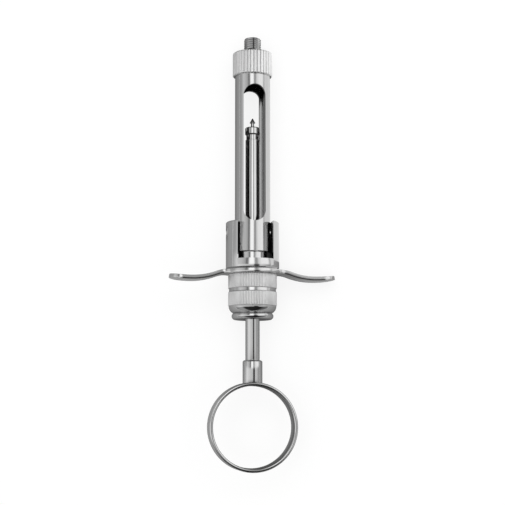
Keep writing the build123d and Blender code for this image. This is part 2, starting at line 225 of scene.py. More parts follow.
class SyringeStudio(bpy.types.PropertyGroup):
    """The table, the lights and the camera."""

    camera_distance: mm("Camera distance", "From the camera to the middle of the syringe", 400)
    camera_lean: angle("Camera lean", "How far the camera leans to the ring", 4.5)
    camera_swing: angle("Camera swing", "How far the camera swings to the right", 4.5)
    camera_roll: angle("Camera roll", "How far the camera is turned clockwise", 0.18)
    view_width: mm("View width", "Width of the picture at the syringe's axis", 157.2)
    aim_height: mm("Aim", "Where the camera aims, along the syringe from the plate's face", 5.6)
    floor_size: mm("Floor size", "Width of the floor", 4000)
    floor_dark: share("Floor dark", "Darkest grey of the floor", 0.8)
    floor_pale: share("Floor pale", "Palest grey of the floor", 0.84)
    floor_glow: share("Floor glow", "Strength of the white that a camera or a mirror sees in the floor", 1.08, 10)
    floor_glow_share: share("Floor glow share", "How much of the floor's look is that white", 0.75)
    sky_strength: share("Sky strength", "Strength of the even light from all round", 0.6, 10)
    lamp_place: bpy.props.FloatVectorProperty(name="Lamp place", description="The middle of the lamp over the table",
                                              subtype="TRANSLATION", default=(0.1, 0.15, 0.9))
    lamp_size: mm("Lamp size", "Width of the lamp over the table", 1200)
    lamp_power: share("Lamp power", "Power of the lamp over the table, in watts", 5.0, 1000)
    tent_radius: mm("Tent radius", "Radius of the light tent round the table", 700)
    tent_foot: mm("Tent foot", "Height of the light tent's lower edge", 20)
    tent_strength: share("Tent strength", "Brightness of the whitest part of the tent", 1.6, 10)
    card_height: mm("Card height", "Height of the cards above the floor", 0.2)


def sizes():
    """The sizes in use."""
    return bpy.context.scene.syringe_sizes


def lone(obj):
    """Leaves this object alone selected and active."""
    bpy.ops.object.select_all(action="DESELECT")
    obj.select_set(True)
    bpy.context.view_layer.objects.active = obj


def add(primitive, **settings):
    """Adds a primitive with nothing else selected, and applies its place, turn and scale."""
    bpy.ops.object.select_all(action="DESELECT")
    primitive(**settings)
    bpy.ops.object.transform_apply()
    return bpy.context.object


def pick(piece, test):
    """Enters edit mode with only those vertices selected that pass a test."""
    lone(piece)
    bpy.ops.object.mode_set(mode="EDIT")
    bpy.ops.mesh.select_mode(type="VERT")
    bpy.ops.mesh.select_all(action="DESELECT")
    bpy.ops.object.mode_set(mode="OBJECT")
    for vertex in piece.data.vertices:
        vertex.select = test(vertex)
    bpy.ops.object.mode_set(mode="EDIT")


def move(piece, test, shift):
    """Moves those of a piece's vertices that pass a test."""
    pick(piece, test)
    bpy.ops.transform.translate(value=shift)
    bpy.ops.object.mode_set(mode="OBJECT")


def edit_all():
    """Enters edit mode with the whole piece selected."""
    bpy.ops.object.mode_set(mode="EDIT")
    bpy.ops.mesh.select_all(action="SELECT")


def face_outwards():
    """Turns all faces outwards and leaves edit mode."""
    bpy.ops.mesh.select_all(action="SELECT")
    bpy.ops.mesh.normals_make_consistent(inside=False)
    bpy.ops.object.mode_set(mode="OBJECT")


def lathe(name, corners, segments=ROUND, solid=False):
    """Turns an outline of (radius, height) corners about the axis: a solid with two flat ends, or a closed ring."""
    bpy.ops.object.select_all(action="DESELECT")
    radius, height = corners[0]
    bpy.ops.mesh.primitive_circle_add(vertices=segments, radius=radius, location=(0, 0, height),
                                      enter_editmode=True)
    for next_radius, next_height in corners[1:]:
        bpy.ops.mesh.extrude_edges_indiv()
        bpy.ops.transform.translate(value=(0, 0, next_height - height))
        widen = next_radius / radius
        bpy.ops.transform.resize(value=(widen, widen, 1), center_override=(0, 0, next_height))
        radius, height = next_radius, next_height
    if solid:
        bpy.ops.mesh.select_all(action="SELECT")
        bpy.ops.mesh.fill_holes(sides=0)
    else:
        bpy.ops.mesh.select_all(action="DESELECT")
        bpy.ops.mesh.select_non_manifold()
        bpy.ops.mesh.bridge_edge_loops()
    face_outwards()
    piece = bpy.context.object
    piece.name = name
    bpy.ops.object.transform_apply()
    return piece


def arc(centre_radius, centre_height, radius, start, end, steps):
    """Outline corners on an arc, with angles in degrees from the outward direction towards the needle."""
    corners = []
    for step in range(steps + 1):
        angle = math.radians(start + (end - start) * step / steps)
        corners.append((centre_radius + radius * math.cos(angle), centre_height + radius * math.sin(angle)))
    return corners


def press_ridges(piece, ridges, low, high, depth):
    """Draws the grooves of a straight knurl between two heights: half deep when wide, the rest when narrow."""
    for half_width in (0.2, 0.07):
        def in_groove(vertex):
            place = vertex.co
            phase = math.atan2(place.y, place.x) / math.tau * ridges % 1
            inside = low - depth / 10 <= place.z <= high + depth / 10
            return inside and abs(phase - 0.5) < half_width and place.xy.length > sizes().stem

        outer = max(vertex.co.xy.length for vertex in piece.data.vertices if in_groove(vertex))
        pick(piece, in_groove)
        narrow = 1 - depth / 2 / outer
        bpy.ops.transform.resize(value=(narrow, narrow, 1), center_override=(0, 0, 0))
        bpy.ops.object.mode_set(mode="OBJECT")


def modify(piece, kind, **settings):
    """Gives a piece one modifier and applies it."""
    modifier = piece.modifiers.new(kind.lower(), kind)
    for key, value in settings.items():
        setattr(modifier, key, value)
    lone(piece)
    bpy.ops.object.modifier_apply(modifier=modifier.name)


def combine(piece, tool, operation="DIFFERENCE"):
    """Cuts a piece with a tool, or intersects the two, and removes the tool."""
    modify(piece, "BOOLEAN", operation=operation, solver="EXACT", object=tool)
    lone(tool)
    bpy.ops.object.delete()


def soften(piece, width, segments=2):
    """Rounds a piece's sharp edges a little."""
    modify(piece, "BEVEL", width=width, segments=segments, limit_method="ANGLE", angle_limit=SHARP_ANGLE)


def block(width, depth, low, high):
    """A box across the axis between two heights, to cut with."""
    return add(bpy.ops.mesh.primitive_cube_add, size=1, location=(0, 0, (low + high) / 2),
               scale=(width, depth, high - low))


def place_at(piece, height, angle, axis):
    """Turns a piece about the origin, raises it along the upright axis and applies both."""
    piece.matrix_world = Matrix.Translation((0, 0, height)) @ Matrix.Rotation(angle, 4, axis) @ piece.matrix_world
    lone(piece)
    bpy.ops.object.transform_apply()


def seat(piece, body, node, surface=None):
    """Lays a finished upright piece down where its solid is, and gives it its body and material."""
    piece.matrix_world = LAY_DOWN @ piece.matrix_world
    lone(piece)
    bpy.ops.object.transform_apply()
    bpy.ops.object.shade_smooth_by_angle(angle=SMOOTH_ANGLE)
    piece.data.materials.clear()
    piece.data.materials.append(surface or polished())
    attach(piece, body)
    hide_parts(node)


def maths(operation, reflected=False):
    """A method that answers one of Python's operators with a Math node."""
    def method(self, other=0.0):
        first, second = (other, self) if reflected else (self, other)
        return self.surface.node("Math", {"operation": operation}, {0: first, 1: second})
    return method


class Value:
    """A socket that takes part in sums: an expression on values adds its Math nodes."""

    def __init__(self, surface, socket):
        self.surface = surface
        self.socket = socket

    __add__, __radd__ = maths("ADD"), maths("ADD", True)
    __sub__, __rsub__ = maths("SUBTRACT"), maths("SUBTRACT", True)
    __mul__, __rmul__ = maths("MULTIPLY"), maths("MULTIPLY", True)
    __truediv__, __rtruediv__ = maths("DIVIDE"), maths("DIVIDE", True)
    __lt__, __gt__, __abs__ = maths("LESS_THAN"), maths("GREATER_THAN"), maths("ABSOLUTE")
    angle_to, highest = maths("ARCTAN2"), maths("MAXIMUM")


class Surface:
    """A material under construction."""

    def __init__(self, name, owner=None):
        self.material = owner or bpy.data.materials.new(name)
        self.material.use_nodes = True
        self.tree = self.material.node_tree
        self.tree.nodes.clear()

    def node(self, kind, settings=None, inputs=None, output=0):
        """Adds a shader node with its settings first, then the values or links of its sockets."""
        node = self.tree.nodes.new("ShaderNode" + kind)
        for key, value in (settings or {}).items():
            setattr(node, key, value)
        for key, value in (inputs or {}).items():
            if isinstance(value, Value):
                self.tree.links.new(value.socket, node.inputs[key])
            else:
                node.inputs[key].default_value = value
        return Value(self, node.outputs[output]) if node.outputs else node

    def ramp(self, place, stops):
        """Greys from a row of (place, grey) stops."""
        greys = self.node("ValToRGB", {}, {"Fac": place})
        elements = greys.socket.node.color_ramp.elements
        while len(elements) < len(stops):
            elements.new(1)
        for element, (position, grey) in zip(elements, stops):
            element.position = position
            element.color = (grey, grey, grey, 1)
        return greys

    def upright(self):
        """The place on the upright syringe of the point that is shaded."""
        place = self.node("TexCoord", output="Object")
        return self.node("Mapping", {}, {"Vector": place, "Location": STAND_UP.to_translation(),
                                         "Rotation": STAND_UP.to_euler()})

    def noise(self, place, scale, detail=2.0):
        """Even noise from 0 to 1; scale is features per metre along X, Y and Z."""
        stretched = self.node("VectorMath", {"operation": "MULTIPLY"}, {0: place, 1: scale})
        return self.node("TexNoise", {}, {"Vector": stretched, "Scale": 1.0, "Detail": detail})

    def parts(self, place):
        """The X, Y and Z of a place."""
        split = self.node("SeparateXYZ", {}, {0: place}).socket.node
        return [Value(self, split.outputs[axis]) for axis in "XYZ"]

    def seen(self):
        """1 where the camera, a mirror or a glass looks, and 0 where other light is gathered."""
        path = self.node("LightPath").socket.node
        camera, mirror, glass = (Value(self, path.outputs[f"Is {kind} Ray"])
                                 for kind in ("Camera", "Glossy", "Transmission"))
        return camera.highest(mirror).highest(glass)

    def mix(self, factor, first, second):
        """A colour between two others."""
        return self.node("Mix", {"data_type": "RGBA"}, {0: factor, 6: first, 7: second}, output=2)

    def vary(self, factor, colour, darkest, brightest):
        """A colour that goes from a darker to a brighter share of itself."""
        ends = [(*(part * grey for part in colour[:3]), 1) for grey in (darkest, brightest)]
        return self.mix(factor, *ends)

    def shine(self, colour, strength):
        """Closes the material as a light."""
        light = self.node("Emission", {}, {"Color": colour, "Strength": strength})
        self.node("OutputMaterial", {}, {"Surface": light})
        return self.material

    def finish(self, colour, roughness, bump=None, bump_height=0.0):
        """Closes the material as bare metal."""
        inputs = {"Base Color": colour, "Roughness": roughness, "Metallic": 1.0}
        if bump is not None:
            inputs["Normal"] = self.node("Bump", {}, {"Height": bump, "Strength": 1.0, "Distance": bump_height})
        shader = self.node("BsdfPrincipled", {}, inputs)
        self.node("OutputMaterial", {}, {"Surface": shader})
        return self.material


def satin_steel(name):
    """Lengthwise-polished steel: fine lines along the syringe, and a slow drift in polish."""
    finish = bpy.context.scene.syringe_finish
    surface = Surface(name)
    place = surface.upright()
    lines = surface.noise(place, (5000, 5000, 60), 3)
    drift = surface.noise(place, (160, 160, 60))
    colour = surface.vary(lines, finish.satin, 0.88, 1.1)
    roughness = lines * 0.1 + drift * 0.06 + (finish.satin_roughness - 0.08)
    return surface.finish(colour, roughness, lines, 0.0003 * MM)


def polished_steel(name):
    """Buffed steel with a faint haze that comes and goes."""
    finish = bpy.context.scene.syringe_finish
    surface = Surface(name)
    place = surface.upright()
    haze = surface.noise(place, (260, 260, 180), 4)
    swirl = surface.noise(place, (3200, 3200, 500), 2)
    colour = surface.vary(haze, finish.polished, 0.93, 1.06)
    roughness = haze * 0.08 + swirl * 0.03 + (finish.polished_roughness - 0.05)
    return surface.finish(colour, roughness, swirl, 0.0006 * MM)


def knurled_steel(name, tip_radius, depth):
    """Cut ridges: lighter tips are a painted highlight, darker valleys painted shade; nearer to the axis the same
    piece is turned and buffed.
    """
    finish = bpy.context.scene.syringe_finish
    surface = Surface(name)
    place = surface.upright()
    flat = surface.node("VectorMath", {"operation": "MULTIPLY"}, {0: place, 1: (1, 1, 0)})
    radius = surface.node("VectorMath", {"operation": "LENGTH"}, {0: flat}, output="Value")
    tip = surface.node("MapRange", {}, {0: radius, 1: tip_radius - depth, 2: tip_radius, 3: 0.0, 4: 1.0})
    plain = radius < tip_radius - 1.3 * depth
    grain = surface.noise(place, (2500, 2500, 900), 3)
    # Painted highlight on the ridge tops, and painted shade in the valleys.
    ridge = surface.vary(grain, finish.knurled, 0.92, 1.08)
    cut = surface.mix(tip, finish.valley, ridge)
    colour = surface.mix(plain, cut, finish.polished)
    rough = finish.knurl_roughness - finish.polished_roughness
    roughness = (1 - plain) * rough + grain * 0.06 + (finish.polished_roughness - 0.03)
    return surface.finish(colour, roughness, grain, 0.0008 * MM)


def fork_steel(name):
    """Buffed steel outside; in the barrel's slot, rougher milled faces coloured near black as painted shade."""
    finish = bpy.context.scene.syringe_finish
    surface = Surface(name)
    s = sizes()
    skin = s.edge * 0.4
    place = surface.upright()
    side, depth, height = surface.parts(place)
    # Where shade is painted: the slot's faces behind its front strip get the near-black colour, and are also rougher.
    slot = (abs(side) < s.arm_inner + skin) * (height > s.yoke_floor - skin) * (depth > -s.slot_shade_reach)
    haze = surface.noise(place, (260, 260, 180), 4)
    cut = surface.noise(place, (900, 900, 9000), 2)
    outside = surface.vary(haze, finish.polished, 0.93, 1.06)
    inside = surface.vary(cut, finish.slot, 0.7, 1.3)
    colour = surface.mix(slot, outside, inside)
    roughness = slot * 0.4 + haze * 0.08 + (finish.polished_roughness - 0.04)
    return surface.finish(colour, roughness, cut * slot, 0.004 * MM)


def drawn_wire(name):
    """The spring's wire, with the die's fine marks."""
    finish = bpy.context.scene.syringe_finish
    surface = Surface(name)
    marks = surface.noise(surface.upright(), (1800, 1800, 1800), 3)
    colour = surface.vary(marks, finish.wire, 0.8, 1.15)
    return surface.finish(colour, marks * 0.15 + 0.25, marks, 0.001 * MM)


def material(name, make, *values):
    """The material of that name, made the first time that it is asked for."""
    return bpy.data.materials.get(name) or make(name, *values)


def polished():
    """The steel of most pieces."""
    return material("buffed_steel", polished_steel)


class SYRINGE_OT_barrel(bpy.types.Operator):
    """Model the windowed barrel with its stepped front neck"""

    bl_idname = "syringe.barrel"
    bl_label = "Barrel"

    def execute(self, context):
        s = sizes()
        low, high, radius = reach("barrel")
        shoulder = reach("needle_adaptor")[0]
        neck = radius - s.neck_step
        barrel = lathe("barrel_tube", [
            (radius - s.chamfer, low), (radius, low + s.chamfer), (radius, shoulder),
            (neck, shoulder), (neck, high), (s.bore, high), (s.bore, low)])
        for width, way in ((s.window_width, -1), (s.rear_window_width, 1)):
            combine(barrel, self.window_cutter(low + s.window_rear, shoulder - s.window_front, width, way * radius))
        for side in (-1, 1):
            combine(barrel, cross_rod(s.pivot_hole, s.bore / 2, 2 * radius, side))
        seat(barrel, "holder", "barrel", material("drawn_tube_steel", satin_steel))
        return {"FINISHED"}

    def window_cutter(self, low, high, width, reach_out):
        """A round rod through one wall, whose upper half is drawn up to the window's other end."""
        half = width / 2
        cutter = add(bpy.ops.mesh.primitive_cylinder_add, vertices=64, radius=half, depth=2 * abs(reach_out),
                     location=(0, reach_out, low + half), rotation=(math.pi / 2, 0, 0))
        move(cutter, lambda vertex: vertex.co.z > low + half, (0, 0, high - low - width))
        return cutter


class SYRINGE_OT_needle_adaptor(bpy.types.Operator):
    """Model the knurled cap and its threaded spigot"""

    bl_idname = "syringe.needle_adaptor"
    bl_label = "Needle adaptor"

    def execute(self, context):
        s = sizes()
        low, high, radius = reach("needle_adaptor")
        top = high - s.spigot_length
        neck_top = top + s.spigot_neck
        neck = s.spigot - s.spigot_neck_step
        rim = arc(radius - s.cap_rounding, top - s.cap_rounding, s.cap_rounding, 0, 90, 4)
        inner_end = top - s.cap_end_wall
        cap = lathe("needle_adaptor_cap", [
            (radius - s.chamfer, low), (radius, low + s.chamfer), *rim, (neck, top), (neck, neck_top),
            (s.passage, neck_top), (s.passage, inner_end), (s.cap_bore, inner_end), (s.cap_bore, low)],
            segments=8 * s.cap_ridges)
        press_ridges(cap, s.cap_ridges, low + s.chamfer, top - s.cap_rounding / 2, s.cap_ridge_depth)
        thread = self.thread(neck_top, high)
        lone(cap)
        thread.select_set(True)
        bpy.ops.object.join()
        steel = material("cap_steel", knurled_steel, radius, s.cap_ridge_depth)
        seat(cap, "adaptor", "needle_adaptor", steel)
        return {"FINISHED"}

    def thread(self, low, high):
        """A helical thread, trimmed to its length, chamfered and drilled through."""
        s = sizes()
        thread = add(bpy.ops.mesh.primitive_circle_add, vertices=4, radius=s.thread_pitch / 2,
                     rotation=(math.pi / 2, 0, 0))
        pick(thread, lambda vertex: vertex.co.x < -s.thread_pitch / 4)
        bpy.ops.mesh.delete(type="VERT")
        bpy.ops.object.mode_set(mode="OBJECT")
        start = low - 2 * s.thread_pitch
        root = s.spigot - s.thread_depth
        for vertex in thread.data.vertices:
            tooth = vertex.co.x > s.thread_pitch / 4
            vertex.co = (s.spigot if tooth else root, 0, start + vertex.co.z)
        modify(thread, "SCREW", screw_offset=s.thread_pitch, iterations=int((high - low) / s.thread_pitch) + 5,
               steps=64, render_steps=64, use_merge_vertices=True, merge_threshold=s.thread_pitch / 1000)
        for height, way in ((low, -1), (high, 1)):
            edit_all()
            bpy.ops.mesh.bisect(plane_co=(0, 0, height), plane_no=(0, 0, way), use_fill=True, clear_outer=True)
            bpy.ops.object.mode_set(mode="OBJECT")
        edit_all()
        face_outwards()
        blank = lathe("thread_blank", [(root, low), (s.spigot, low + s.spigot_neck_step),
                                       (s.spigot, high - s.spigot_chamfer), (s.spigot - s.spigot_chamfer, high),
                                       (s.passage, high), (s.passage, low)], segments=64)
        combine(thread, blank, "INTERSECT")
        return thread


class SYRINGE_OT_hinge_yoke(bpy.types.Operator):
    """Model the fork with its stem, and cut the recesses for its screws"""

    bl_idname = "syringe.hinge_yoke"
    bl_label = "Hinge yoke"

    def execute(self, context):
        s = sizes()
        low, high, radius = reach("hinge_yoke")
        ledge = s.yoke_floor - s.yoke_ledge
        yoke = lathe("hinge_yoke_fork", [
            (s.stem, low), (s.stem, 0), (radius - s.yoke_chamfer, 0), (radius, s.yoke_chamfer),
            (radius, high - s.chamfer), (radius - s.chamfer, high), (s.sleeve_hole, high),
            (s.sleeve_hole, ledge), (s.stem_bore, ledge), (s.stem_bore, low)])
        combine(yoke, block(2 * s.arm_inner, 4 * radius, s.yoke_floor, 2 * high))
        seat_depth = radius - s.screw_sunk - s.screw_head_height
        for reach_in, width in ((s.arm_inner / 2, s.screw_shank), (seat_depth, s.screw_hole)):
            for side in (-1, 1):
                combine(yoke, cross_rod(width, reach_in, 2 * radius, side))
        soften(yoke, s.edge)
        seat(yoke, "holder", "hinge_yoke", material("fork_steel", fork_steel))
        return {"FINISHED"}


def cross_rod(radius, start, end, side):
    """A plain rod at the pivots' height, from one distance to another on one side of the axis."""
    rod = lathe("rod", [(radius, start), (radius, end)], segments=SMALL_ROUND, solid=True)
    place_at(rod, sizes().pivot_height, side * math.pi / 2, "Y")
    return rod


class SYRINGE_OT_pivot_screws(bpy.types.Operator):
    """Model the two slotted pivot screws"""

    bl_idname = "syringe.pivot_screws"
    bl_label = "Pivot screws"

    def execute(self, context):
        s = sizes()
        yoke = reach("hinge_yoke")[2]
        head_top = yoke - s.screw_sunk
        seat_depth = head_top - s.screw_head_height
        pivot_end = reach("barrel")[2] - s.pivot_bite
        for side, node in ((-1, "pivot_screw_left"), (1, "pivot_screw_right")):
            screw = lathe(node + "_turned", [
                (s.pivot, pivot_end), (s.pivot, s.arm_inner), (s.screw_shank, s.arm_inner),
                (s.screw_shank, seat_depth), (s.screw_head, seat_depth), (s.screw_head, head_top)],
                segments=SMALL_ROUND, solid=True)
            combine(screw, block(4 * s.screw_head, s.screw_slot, head_top - s.screw_slot_depth, 2 * head_top))
            soften(screw, s.edge * 0.6)
            place_at(screw, s.pivot_height, side * math.pi / 2, "Y")
            seat(screw, "holder", node)
        return {"FINISHED"}


class SYRINGE_OT_finger_plate(bpy.types.Operator):
    """Model the pressed finger plate with its S-curved wings"""

    bl_idname = "syringe.finger_plate"
    bl_label = "Finger plate"

    def execute(self, context):
        s = sizes()
        plate = self.plan()
        self.divide(plate)
        self.bend(plate)
        modify(plate, "SOLIDIFY", thickness=s.plate_thickness, offset=0)
        hole = lathe("hole", [(s.stem, -4 * s.plate_thickness), (s.stem, 4 * s.plate_thickness)], solid=True)
        combine(plate, hole)
        soften(plate, s.plate_edge, 3)
        seat(plate, "holder", "finger_plate")
        return {"FINISHED"}

    def plan(self):
        """The flat outline of one quarter, drawn point by point from a circle's corners, and mirrored twice."""
        s = sizes()
        root_x = math.sqrt((s.plate_round + s.wing_root) ** 2 - (s.wing_half_depth + s.wing_root) ** 2)
        root_y = s.wing_half_depth + s.wing_root
        lean = math.degrees(math.atan2(root_y, root_x))
        outline = arc(0, 0, s.plate_round, 90, lean, 14)
        outline += arc(root_x, root_y, s.wing_root, lean - 180, -90, 8)[1:]
        tip = s.wing_reach - s.wing_half_depth
        outline += arc(tip, 0, s.wing_half_depth, 90, 0, 16)
        whole = outline + [(x, -y) for x, y in reversed(outline[:-1])]
        whole += [(-x, -y) for x, y in outline[1:]] + [(-x, y) for x, y in reversed(outline[1:-1])]
        plate = add(bpy.ops.mesh.primitive_circle_add, vertices=len(whole), radius=s.plate_round, fill_type="NGON")
        plate.name = "finger_plate_pressed"
        for index, (x, y) in enumerate(whole):
            place = plate.data.vertices[index].co
            move(plate, lambda vertex: vertex.index == index, (x - place.x, y - place.y, 0))
        return plate

    def divide(self, plate):
        """Cuts the flat sheet across at even steps, so that it can bend."""
        s = sizes()
        lone(plate)
        edit_all()
        steps = 44
        for step in range(steps + 1):
            x = s.wing_bend_start + (s.wing_reach - s.wing_bend_start) * step / steps
            for side in (-1, 1):
                bpy.ops.mesh.select_all(action="SELECT")
                bpy.ops.mesh.bisect(plane_co=(side * x, 0, 0), plane_no=(1, 0, 0))
        face_outwards()

    def bend(self, plate):
        """Presses the sheet to the wings' S-curve, keeping its middle flat."""
        s = sizes()
        run = s.wing_low_point - s.wing_bend_start
        turn = 2 * math.atan(s.wing_dip / run)
        rise = run / math.sin(turn) - s.wing_bend
        change = s.wing_bend_start + s.wing_bend * math.sin(turn)
        tip_run = s.wing_reach - s.wing_low_point
        tip = (tip_run ** 2 + s.wing_rise ** 2) / (2 * s.wing_rise)
        for x in sorted({self.column(vertex) for vertex in plate.data.vertices}):
            height = 0
            if x > s.wing_low_point:
                height = tip - s.wing_dip - math.sqrt(tip ** 2 - (x - s.wing_low_point) ** 2)
            elif x > change:
                height = rise - s.wing_dip - math.sqrt(rise ** 2 - (s.wing_low_point - x) ** 2)
            elif x > s.wing_bend_start:
                height = math.sqrt(s.wing_bend ** 2 - (x - s.wing_bend_start) ** 2) - s.wing_bend
            move(plate, lambda vertex: self.column(vertex) == x, (0, 0, height - s.plate_thickness / 2))

    def column(self, vertex):
        """How far a vertex is from the middle along the wings, to a ten-thousandth of a millimetre."""
        return round(abs(vertex.co.x), 7)


class SYRINGE_OT_collars(bpy.types.Operator):
    """Model the clamp collar, the domed spring housing and the guide bush"""

    bl_idname = "syringe.collars"
    bl_label = "Collars"

    def execute(self, context):
        self.clamp_collar()
        self.spring_housing()
        self.guide_bush()
        return {"FINISHED"}

    def knurled(self, name, node, below, band_low, inside):
        """A collar whose outline has a knurled band between its lower and its inner corners."""
        s = sizes()
        high, radius = reach(node)[1:]
        first, last = band_low + s.knurl_chamfer, high - s.knurl_chamfer
        collar = lathe(name, [*below, (radius, first), (radius, last), (radius - s.fine_depth, high), (s.stem, high),
                              *inside], segments=6 * s.fine_ridges)
        press_ridges(collar, s.fine_ridges, first, last, s.fine_depth)
        steel = material("collar_steel", knurled_steel, radius, s.fine_depth)
        seat(collar, "holder", node, steel)

    def clamp_collar(self):
        s = sizes()
        low, _, radius = reach("clamp_collar")
        rim = radius - s.collar_rim_step
        band_low = low + s.collar_rim
        below = [(rim - s.knurl_chamfer / 2, low), (rim, low + s.knurl_chamfer / 2), (rim, band_low),
                 (radius - s.fine_depth, band_low)]
        self.knurled("clamp_collar_nut", "clamp_collar", below, band_low, [(s.stem, low)])

    def spring_housing(self):
        s = sizes()
        low, _, radius = reach("spring_housing")
        dome_top = low + s.dome_height
        valley = radius - s.fine_depth
        shrink = s.dome_shrink - s.fine_depth
        bow = (shrink ** 2 + s.dome_height ** 2) / (2 * shrink)
        dome = arc(valley - bow, dome_top, bow, -math.degrees(math.atan2(s.dome_height, bow - shrink)), 0, 10)
        inner = low + s.housing_floor
        stem_low = reach("hinge_yoke")[0]
        self.knurled("spring_housing_cup", "spring_housing", dome, dome_top, [
            (s.stem, stem_low), (s.stem_bore, stem_low), (s.stem_bore, inner), (s.bush, inner), (s.bush, low)])

    def guide_bush(self):
        s = sizes()
        low, high, radius = reach("guide_bush")
        dome_low = reach("spring_housing")[0]
        end = reach("spring_housing")[2] - s.dome_shrink
        bead = self.bead(end, dome_low, radius, (low + dome_low) / 2, end - s.bead_shrink, low)
        bush = lathe("guide_bush_turned", [
            *bead, (s.rod_hole, low), (s.rod_hole, high), (s.bush, high), (s.bush, dome_low)])
        soften(bush, s.edge * 1.2)
        seat(bush, "holder", "guide_bush")

    def bead(self, first_r, first_z, middle_r, middle_z, last_r, last_z):
        """Outline corners on the arc through three places."""
        a, b, c = Vector((first_r, first_z)), Vector((middle_r, middle_z)), Vector((last_r, last_z))
        twice_area = 2 * ((b - a).x * (c - a).y - (b - a).y * (c - a).x)
        u, v = (b - a).length_squared, (c - a).length_squared
        centre = a + Vector(((c - a).y * u - (b - a).y * v, (b - a).x * v - (c - a).x * u)) / twice_area
        start, end = a - centre, c - centre
        return arc(centre.x, centre.y, start.length, math.degrees(math.atan2(start.y, start.x)),
                   math.degrees(math.atan2(end.y, end.x)), 12)


class SYRINGE_OT_plunger(bpy.types.Operator):
    """Model the plunger rod, its tip and the harpoon"""

    bl_idname = "syringe.plunger"
    bl_label = "Plunger"

    def execute(self, context):
        s = sizes()
        low, high, radius = reach("plunger_rod")
        neck_low = high - s.rod_neck
        neck = s.rod - s.rod_neck_step
        shoulder = low + s.stud_length
        rod = lathe("plunger_rod_turned", [
            (s.stud, low), (s.stud, shoulder), (s.rod, shoulder), (s.rod, neck_low), (neck, neck_low),
            (neck, high)], segments=64, solid=True)
        soften(rod, s.edge * 0.8)
        seat(rod, "plunger", "plunger_rod")
        tip_high, tip_radius = reach("plunger_tip")[1:]
        head_top = high + s.tip_head_height
        barb_low = tip_high - s.barb_length
        tip = lathe("plunger_tip_turned", [
            (tip_radius - s.chamfer, high), (tip_radius, high + s.chamfer),
            (tip_radius, head_top - s.chamfer), (tip_radius - s.chamfer, head_top), (s.shaft, head_top),
            (s.shaft, barb_low), (s.barb, barb_low), (s.point, tip_high)], segments=64, solid=True)
        soften(tip, s.edge * 0.5)
        seat(tip, "plunger", "plunger_tip")
        return {"FINISHED"}


class SYRINGE_OT_thumb_ring(bpy.types.Operator):
    """Model the thumb ring and the socket that joins it to the rod"""

    bl_idname = "syringe.thumb_ring"
    bl_label = "Thumb ring"

    def execute(self, context):
        s = sizes()
        centre = (STAND_UP @ Vector(MOUNTS["thumb_ring_hole"]["pos_m"])).z
        outer = s.ring_inner + s.ring_band
        half = s.ring_depth / 2
        r = s.ring_rounding
        ring = lathe("thumb_ring_band", [
            *arc(outer - r, half - r, r, 0, 90, 4), *arc(s.ring_inner + r, half - r, r, 90, 180, 4),
            *arc(s.ring_inner + r, r - half, r, 180, 270, 4), *arc(outer - r, r - half, r, 270, 360, 4)],
            segments=2 * ROUND)
        place_at(ring, centre, math.pi / 2, "X")
        seat(ring, "ring", "thumb_ring")
        high, radius = reach("ring_socket")[1:]
        socket = lathe("ring_socket_turned", [
            (radius, centre + outer / 2), (radius, high - s.socket_chamfer), (radius - s.socket_chamfer, high)],
            segments=64, solid=True)
        saddle = lathe("saddle", [(outer, -outer), (outer, outer)], segments=2 * ROUND, solid=True)
        place_at(saddle, centre, math.pi / 2, "X")
        combine(socket, saddle)
        soften(socket, s.edge)
        seat(socket, "ring", "ring_socket")
        return {"FINISHED"}


class SYRINGE_OT_inner_parts(bpy.types.Operator):
    """Give the locking sleeve its steel, and wind the return spring"""

    bl_idname = "syringe.inner_parts"
    bl_label = "Inner parts"

    def execute(self, context):
        for node in frame["nodes"].values():
            node.data.materials.clear()
            node.data.materials.append(polished())
        self.return_spring()
        return {"FINISHED"}

    def return_spring(self):
        """A wound wire with even turns from the spring's low end to its high end."""
        s = sizes()
        low, high, radius = reach("return_spring")
        half = s.spring_wire / 2
        spring = add(bpy.ops.mesh.primitive_circle_add, vertices=16, radius=half,
                     location=(radius - half, 0, low + half), rotation=(math.pi / 2, 0, 0))
        spring.name = "return_spring_wire"
        steps = round(SMALL_ROUND * s.spring_turns)
        modify(spring, "SCREW", angle=math.tau * s.spring_turns, screw_offset=high - low - s.spring_wire,
               steps=steps, render_steps=steps)
        edit_all()
        bpy.ops.mesh.fill_holes(sides=0)
        face_outwards()
        seat(spring, "holder", "return_spring", material("drawn_wire", drawn_wire))
        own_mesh(spring)


# Where each pattern of the tent takes over along it, and its greys by degrees right of straight up, as shares of
# the whitest
TENT = [
    (None, [(-90, 0.12), (-66, 0.3), (-48, 0.25), (-36, 0.02), (48, 0.01), (62, 0.08), (90, 0.16)]),
    ((-0.34, -0.2), [(-90, 0.3), (-72, 0.55), (-58, 0.72), (-28, 0.6), (8, 0.5), (14, 0.05), (30, 0.05), (38, 0.6),
                     (55, 0.5), (75, 0.3), (90, 0.25)]),
    ((0.0, 0.06), [(-90, 0.3), (-72, 0.34), (-60, 0.55), (-44, 0.5), (-27, 0.36), (-21, 0.14), (-14, 0.25), (-7, 1.0),
                   (9, 1.0), (17, 0.3), (24, 0.3), (32, 0.65), (46, 0.82), (74, 0.85), (88, 0.3)]),
    ((0.55, 0.8), [(-90, 0.12), (-50, 0.1), (0, 0.08), (50, 0.1), (90, 0.15)]),
]
# Grey levels of the cards from the syringe outwards, as shares of this reach, and each card's middle and size
CARD_REACH = 0.1
CARD_GREYS = [(0.03, 0.1), (0.1, 0.24), (0.16, 0.36), (0.35, 0.48), (1.0, 0.5)]
CARDS = {"left_card": ((-0.2465, 0), (0.507, 1.0)), "ring_card": ((0.257, -0.2515), (0.5, 0.497))}


